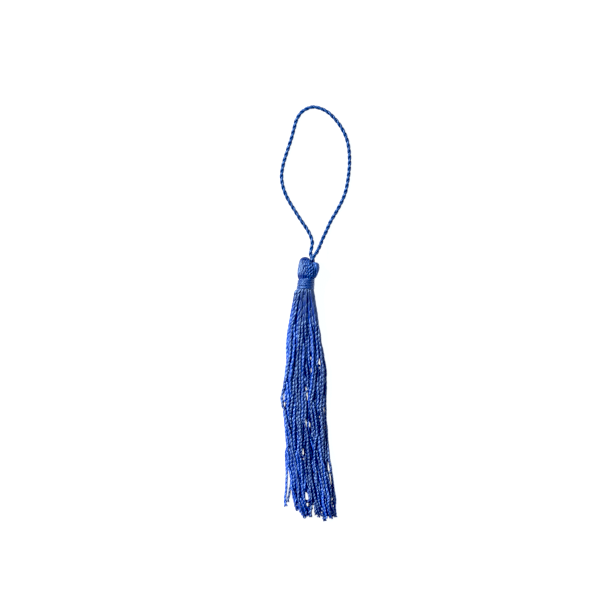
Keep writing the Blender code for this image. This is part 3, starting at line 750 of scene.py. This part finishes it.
# %% All strands, in three pieces
strand_tubes = []
for k in range(len(heap)):
    rings, sides = (RINGS, SIDES) if k < STRAND_COUNT else (UNDER_RINGS, UNDER_SIDES)
    line = strand_line(k, rings)
    walked, fallen = walk(line), -line[:, 1]
    loose = np.clip(fallen / RIPPLE_FROM, 0.0, 1.0) * character.uniform(*RIPPLE_SIZE)
    line[:, 0] += loose * ripple(walked)
    line[:, 2] += loose * ripple(walked)
    width = STRAND_WIDTH * np.interp(fallen, THICK_DROP, THICKNESS) * character.uniform(*WIDTH_SPREAD)
    # one where a strand is drawn straight, and least for the leftmost
    drawn = 1.0 - LEFT_LOOSE * np.clip((-all_seats[k, 0] - 0.3) / 0.4, 0.0, 1.0)
    lay_share = 1.0 + drawn * (np.interp(fallen, LAY_DROP, LAY_SHARE) - 1.0)
    lay = STRAND_LAY * character.uniform(*LAY_SPREAD) * lay_share
    opened = SPRING_OPEN * np.clip(1 - (walked[-1] - walked) / SPRING_LENGTH, 0.0, 1.0) ** 2
    line[:, 2] = np.maximum(line[:, 2], 0.5 * width * (1.0 + opened))
    # painted shade near the binding, fading into the strand's own random tone further down
    rooted = np.exp(-((fallen / ROOT_SHADE_REACH) ** 2))
    tone = character.uniform(*DYE_SPREAD) * (1 - rooted) + np.interp(fallen, *ROOT_SHADE) * rooted
    deeper, streak_side, streak_reach = DEEP_STREAK
    tone = tone - deeper * (1 - rooted) * np.exp(-(((line[:, 0] - streak_side) / streak_reach) ** 2))
    rounding = [FLAT_DROP, FLAT_DROP + ROUNDING * drawn]
    shape = [np.interp(fallen, rounding, pair)[:, None] for pair in zip(FLAT_PLIES, STRAND_PLIES)]
    start = character.uniform(*ANY_TURN)
    plies, walked = twisted(line, width, lay, start, sides, shape, opened=opened)
    strand_tubes.append([(ply, walked, tone) for ply in plies])

# softly twisted filaments lie nearly side by side, so the eye gets a broad, pale sheen on every ply that
# faces the lamp, over a strong, pure blue where it doesn't
silk = viscose(
    "twisted_viscose_strands", deep="010E58", pale="0A3FB2", roughness=0.47, density=1.80, groove_shade=0.20
)
from_left = np.argsort(heap[:, len(fall) // 2, 0])
for name, some in zip(("fringe_left", "fringe_middle", "fringe_right"), np.array_split(from_left, 3)):
    make_piece(name, [tube for k in some for tube in strand_tubes[k]], silk, "thread_hank")

# %% [markdown]
# ## The head
# The head is where the hank is folded over the cord: the threads come up out of the binding, swell over two
# soft lobes and go down again between them, into the cleft that holds the cord. They lie side by side like
# the segments of a pumpkin, with a slight slant. A surface of revolution would be too even, so the head is a
# stack of leaning ovals, with the cleft pressed into it, and the threads follow it at steady angles.

# %% The head's surface
HEAD_BASE = 3.9
HEAD_LEAN = math.radians(23.6)
HEAD_THREADS = 22
HEAD_SLANT = -0.12  # radians round the head in each millimetre
CLEFT_HALF_WIDTH = 1.1
CLEFT_SIDE = -0.25
HEAD_OVALS = np.array([
    # along, offset, half width, half depth, tilt, cleft
    (-1.40, 0.00, 1.95, 1.95, 0.0, 0.0),
    (-0.20, -0.12, 2.32, 2.20, 0.0, 0.0),
    (0.30, -0.14, 2.60, 2.40, 3.0, 0.0),
    (0.75, -0.20, 2.82, 2.80, 8.0, 0.0),
    (1.60, -0.36, 3.00, 3.00, 15.0, 0.0),
    (2.70, -0.52, 3.16, 3.05, 20.0, 0.0),
    (3.70, -0.66, 3.26, 3.05, 22.0, 0.0),
    (4.50, -0.90, 3.16, 2.85, 22.0, 0.2),
    (5.10, -0.88, 2.88, 2.45, 22.0, 0.5),
    (5.60, -0.92, 1.95, 1.90, 22.0, 0.8),
    (5.75, -0.85, 1.40, 1.40, 22.0, 0.9),
    (5.30, -0.40, 0.90, 0.90, 22.0, 0.8),
])


def head_surface(ovals, angle, sunk_in):
    """Points (oval, angle, 3) on the head, sunk_in under its skin.

    Each oval stands across the leaning middle line, turned by its tilt, and the cleft pulls its middle down
    by a bell curve of the distance from the middle.
    """
    along, offset, wide, deep, tilt, cleft = (column[:, None] for column in ovals.T)
    climb = np.maximum(along, 0.0)
    lean = np.radians(tilt)
    side = offset + (wide - sunk_in) * np.cos(angle)
    depth = (deep - sunk_in) * np.sin(angle)
    sunk = cleft * np.exp(-(((side - CLEFT_SIDE) / CLEFT_HALF_WIDTH) ** 2))
    x = climb * math.sin(HEAD_LEAN) + side * np.cos(lean) - sunk * np.sin(lean)
    base = HEAD_BASE + np.minimum(along, 0.0)
    y = base + climb * math.cos(HEAD_LEAN) - side * np.sin(lean) - sunk * np.cos(lean)
    return np.stack([x, y, NECK_HEIGHT + depth], axis=-1)


all_round = 2 * math.pi * np.arange(36)[None] / 36
across_head = np.ptp(head_surface(HEAD_OVALS, all_round, 0.0)[..., 0])
print(f"head: {across_head:.1f} mm across, {HEAD_THREADS} threads round it")

# %% Threads over the head
HEAD_WIDTH = 0.90
HEAD_WIDTH_SPREAD = (0.88, 1.08)
HEAD_TAPER = ([0.0, 0.2, 0.75, 1.0], [0.9, 1.0, 1.0, 0.7])
HEAD_DEPTH = 0.32  # of the threads' middle lines under the skin
HEAD_DEPTH_SPREAD = 0.09
SPINE_DEPTH = 2.2  # of the line inside, from which a thread's outer side faces away
HEAD_STATIONS = 90
HEAD_RINGS, HEAD_SPAN = 12, 2.2  # so many rings in so many millimetres
HEAD_PLIES = (0.46, 0.54, 0.70)
SPECKLED = 3.9  # where, counted in threads, the lay is shortest and the beads show most
SPECKLE_REACH = [1.0, 3.5]  # threads away from there over which that changes
SPECKLE_LAYS = [2.0, 6.0]
HEAD_LAY_SPREAD = (0.8, 1.25)
HEAD_DYE_SPREAD = (-0.5, -0.15)
PAINTED_LIGHT_MIDDLE = -1.2  # where, counted in threads from the right, painted light makes the head palest
RIGHT_PAINTED_LIGHT = 0.7
LEFT_PAINTED_SHADE = 0.35
SPECKLE_PAINTED_HIGHLIGHT = 0.25
HIGHLIGHT_REACH = 2.0  # threads on either side that get the painted highlight
BASE_PAINTED_LIGHT = ([0.0, 0.3], [0.3, 0.0])  # painted light along a thread, from the binding, where the head's bulge shades it

# taut filaments, folded round a bend: the sheen is broad but breaks off where a thread turns away from the
# lamp, which is what makes the head look round
folded = viscose(
    "folded_viscose_strands", deep="06195C", pale="1C50A4", roughness=0.46, density=1.60, groove_shade=0.20
)
dense = smooth_through(HEAD_OVALS, HEAD_STATIONS)
angle = 2 * math.pi * np.arange(HEAD_THREADS) / HEAD_THREADS - HEAD_SLANT * np.maximum(dense[:, :1], 0.0)
depth = HEAD_DEPTH + character.uniform(-HEAD_DEPTH_SPREAD, HEAD_DEPTH_SPREAD, HEAD_THREADS)
skin = head_surface(dense, angle, depth)
spine = head_surface(dense, angle, SPINE_DEPTH)
head_tubes = []
for k in range(HEAD_THREADS):
    length = walk(skin[:, k])[-1]
    both = smooth_through(np.hstack([skin[::3, k], spine[::3, k]]), int(length / HEAD_SPAN * HEAD_RINGS))
    line, inside = both[:, :3], both[:, 3:]
    share = np.linspace(0.0, 1.0, len(line))
    width = HEAD_WIDTH * character.uniform(*HEAD_WIDTH_SPREAD) * np.interp(share, *HEAD_TAPER)
    line[:, 2] = np.maximum(line[:, 2], 0.5 * width)
    outward = min(abs(k - SPECKLED), HEAD_THREADS - abs(k - SPECKLED))
    lay = character.uniform(*HEAD_LAY_SPREAD) * np.interp(outward, SPECKLE_REACH, SPECKLE_LAYS)
    shape = [np.interp(outward, SPECKLE_REACH, pair) for pair in zip(HEAD_PLIES, FLAT_PLIES)]
    start = character.uniform(*ANY_TURN)
    plies, walked = twisted(line, width, lay, start, SIDES, shape, unit(line - inside))
    # painted light on the right lobe, which lies in shade, and painted shade on the left lobe, which faces
    # the lamp
    rightward = max(0.0, math.cos(2 * math.pi * (k - PAINTED_LIGHT_MIDDLE) / HEAD_THREADS))
    leftward = max(0.0, -math.cos(2 * math.pi * k / HEAD_THREADS))
    tone = character.uniform(*HEAD_DYE_SPREAD) + RIGHT_PAINTED_LIGHT * rightward
    # painted highlight: the speckled threads, where the head's band of shine lies, are made paler
    tone = tone - LEFT_PAINTED_SHADE * leftward + SPECKLE_PAINTED_HIGHLIGHT * (outward < HIGHLIGHT_REACH)
    # painted light at the base of each thread, against the shade under the head's bulge
    tone = tone + np.interp(share, *BASE_PAINTED_LIGHT)
    head_tubes += [(ply, walked, tone) for ply in plies]
make_piece("head_threads", head_tubes, folded, "thread_hank")

# %% The core that they lie on
CORE_RINGS = 40
CORE_SIDES = 32
CORE_DEPTH = 0.55
CORE_TONE = -0.2
CORE_LOWEST = 0.1
core_angle = 2 * math.pi * np.arange(CORE_SIDES) / CORE_SIDES
core = head_surface(
    smooth_through(HEAD_OVALS, CORE_RINGS), np.tile(core_angle[::-1], (CORE_RINGS, 1)), CORE_DEPTH
)
core[..., 2] = np.maximum(core[..., 2], CORE_LOWEST)
make_piece("head_core", [(core, walk(core[:, 0]), CORE_TONE)], folded, "thread_hank")

# %% [markdown]
# ## The binding
# One finer thread is wound round the neck, turn beside turn, and its ends are drawn under. It is a helix
# with a low pitch; a tiny unevenness of radius and pitch keeps it from looking like a screw. A ribbed band
# would be quicker, but its ribs would close into rings, and the real ones climb.

# %% The binding thread
BINDING_TURNS = 6.1  # of its middle line, which makes the binding seven threads high
BINDING_RINGS = 500
BINDING_START = 2.2
BINDING_HEIGHT = 3.7
BINDING_WIDTH = 0.53
BINDING_RADIUS = 2.68
BINDING_LAY = 3.2
BINDING_MIDDLE = -0.18
BINDING_FLARE = 0.22  # wider at its lower edge, which also stands further left
FLARE_HEIGHT = 2.4
TUCK_TURNS = 0.3  # over which an end is drawn under
TUCK_DEPTH = 0.55
UNEVEN = ((0.05, 0.37, 1.0), (0.04, 1.31, 0.0))  # mm, waves in a turn, start
UNEVEN_RADIUS = 0.6  # share of the unevenness that the radius takes
FLARE_OUT, FLARE_LEFT = 0.7, 1.3  # shares of the flare that widen the binding and move it left
BINDING_TONE = 0.1
turns = np.linspace(0.0, BINDING_TURNS, BINDING_RINGS)
angle = 2 * math.pi * turns + BINDING_START
tuck = np.clip(np.minimum(turns, turns[-1] - turns) / TUCK_TURNS, 0.0, 1.0) ** 0.6
uneven = sum(size * np.sin(2 * math.pi * turns * waves + start) for size, waves, start in UNEVEN)
height = 0.5 * BINDING_WIDTH + (BINDING_HEIGHT - BINDING_WIDTH) * turns / turns[-1] + uneven
flare = BINDING_FLARE * np.clip(1 - height / FLARE_HEIGHT, 0.0, 1.0)
radius = BINDING_RADIUS - 0.5 * BINDING_WIDTH + UNEVEN_RADIUS * uneven
radius = radius - TUCK_DEPTH * (1 - tuck) + FLARE_OUT * flare
radial = np.stack([np.cos(angle), 0 * angle, np.sin(angle)], axis=1)
middle = np.stack([BINDING_MIDDLE - FLARE_LEFT * flare, height, 0 * angle + NECK_HEIGHT], axis=1)
line = radial * radius[:, None] + middle
line[:, 2] = np.maximum(line[:, 2], 0.5 * BINDING_WIDTH)
# wound under pull, the filaments are pressed smooth and even, so each turn catches the lamp in one narrow,
# clear line of shine
wound = viscose(
    "wound_viscose_thread", deep="0A2262", pale="183F88", roughness=0.42, density=1.72, groove_shade=0.15
)
plies, walked = twisted(line, BINDING_WIDTH, BINDING_LAY, 0.0, SIDES, FLAT_PLIES, radial)
binding_tubes = [(ply, walked, BINDING_TONE) for ply in plies]
make_piece("binding_thread", binding_tubes, wound, "neck_binding")

# %% [markdown]
# ## Floor and light
# The tassel lies on plain white paper under soft studio light. The main lamp is a small softbox at the upper
# left, because that is the side on which the strands and the binding shine. A large weak lamp overhead keeps
# their tops from going dull, a weaker one at the right does what a white reflector does, and a little light
# from all round opens the shadows. The paper glows, as on a light table, so no shadow dims it. A picture for
# a shop often has its darkest parts pulled down to black; here that is done to red and green alone, which
# leaves a deep blue.

# %% White paper
PAPER_SIZE = 4.0  # metres, to fill every view
PAPER_GLOW = (0.93, 0.97, 1.0, 1.0)
PAPER_BASE = "606060"  # grey, as the glow alone makes it white
paper = bpy.data.materials.new("matt_white_paper")
paper.use_nodes = True
# uncoated paper is a felt of fine fibres with no gloss, so the eye gets an even white and no reflections
paper_shader = paper.node_tree.nodes["Principled BSDF"]
paper_shader.inputs["Base Color"].default_value = linear(PAPER_BASE)
paper_shader.inputs["Roughness"].default_value = 0.9
paper_shader.inputs["Emission Color"].default_value = PAPER_GLOW
paper_shader.inputs["Emission Strength"].default_value = 1.0
sheet_mesh = bpy.data.meshes.new("paper")
reach = PAPER_SIZE / 2
corners = [(-reach, -reach, 0.0), (reach, -reach, 0.0), (reach, reach, 0.0), (-reach, reach, 0.0)]
sheet_mesh.from_pydata(corners, [], [(0, 1, 2, 3)])
sheet_mesh.materials.append(paper)
floor = bpy.data.objects.new("paper", sheet_mesh)
shelf.link(floor)
print(f"paper: {PAPER_SIZE:.0f} m square")

# %% Lamps
VIEW_AIM = np.array([0.0, 0.02, 0.0])
LAMPS = (
    # name, place in metres, size in metres, watts
    ("upper_left_softbox", (-0.85, 0.45, 0.80), 0.28, 39.0),
    ("overhead_softbox", (0.25, -0.2, 1.6), 1.4, 5.5),
    ("right_reflector", (0.9, 0.1, 0.6), 1.0, 3.0),
)


def softbox(name, place, size, watts):
    """A square area lamp at a place in metres, facing the middle of the view."""
    lamp = bpy.data.lights.new(name, "AREA")
    lamp.size = size
    lamp.energy = watts
    thing = bpy.data.objects.new(name, lamp)
    thing.location = place
    thing.rotation_mode = "QUATERNION"
    thing.rotation_quaternion = Vector(VIEW_AIM - np.array(place)).to_track_quat("-Z", "Y")
    shelf.link(thing)
    print(f"{name}: {size} m across, {watts} W")


for facts in LAMPS:
    softbox(*facts)

# %% Air, and the picture's black point
AIR_STRENGTH = 0.07
BLACK_POINT = (0.018, 0.022, 0.0)
air = bpy.data.worlds.new("studio_air")
air.use_nodes = True
glow = air.node_tree.nodes["Background"]
glow.inputs["Color"].default_value = (1.0, 1.0, 1.0, 1.0)
glow.inputs["Strength"].default_value = AIR_STRENGTH
bpy.context.scene.world = air
view = bpy.context.scene.view_settings
view.view_transform = "Standard"
view.look = "None"
view.use_curve_mapping = True
view.curve_mapping.black_level = BLACK_POINT
view.curve_mapping.update()
print(f"light from all round {AIR_STRENGTH}, black point {BLACK_POINT}")
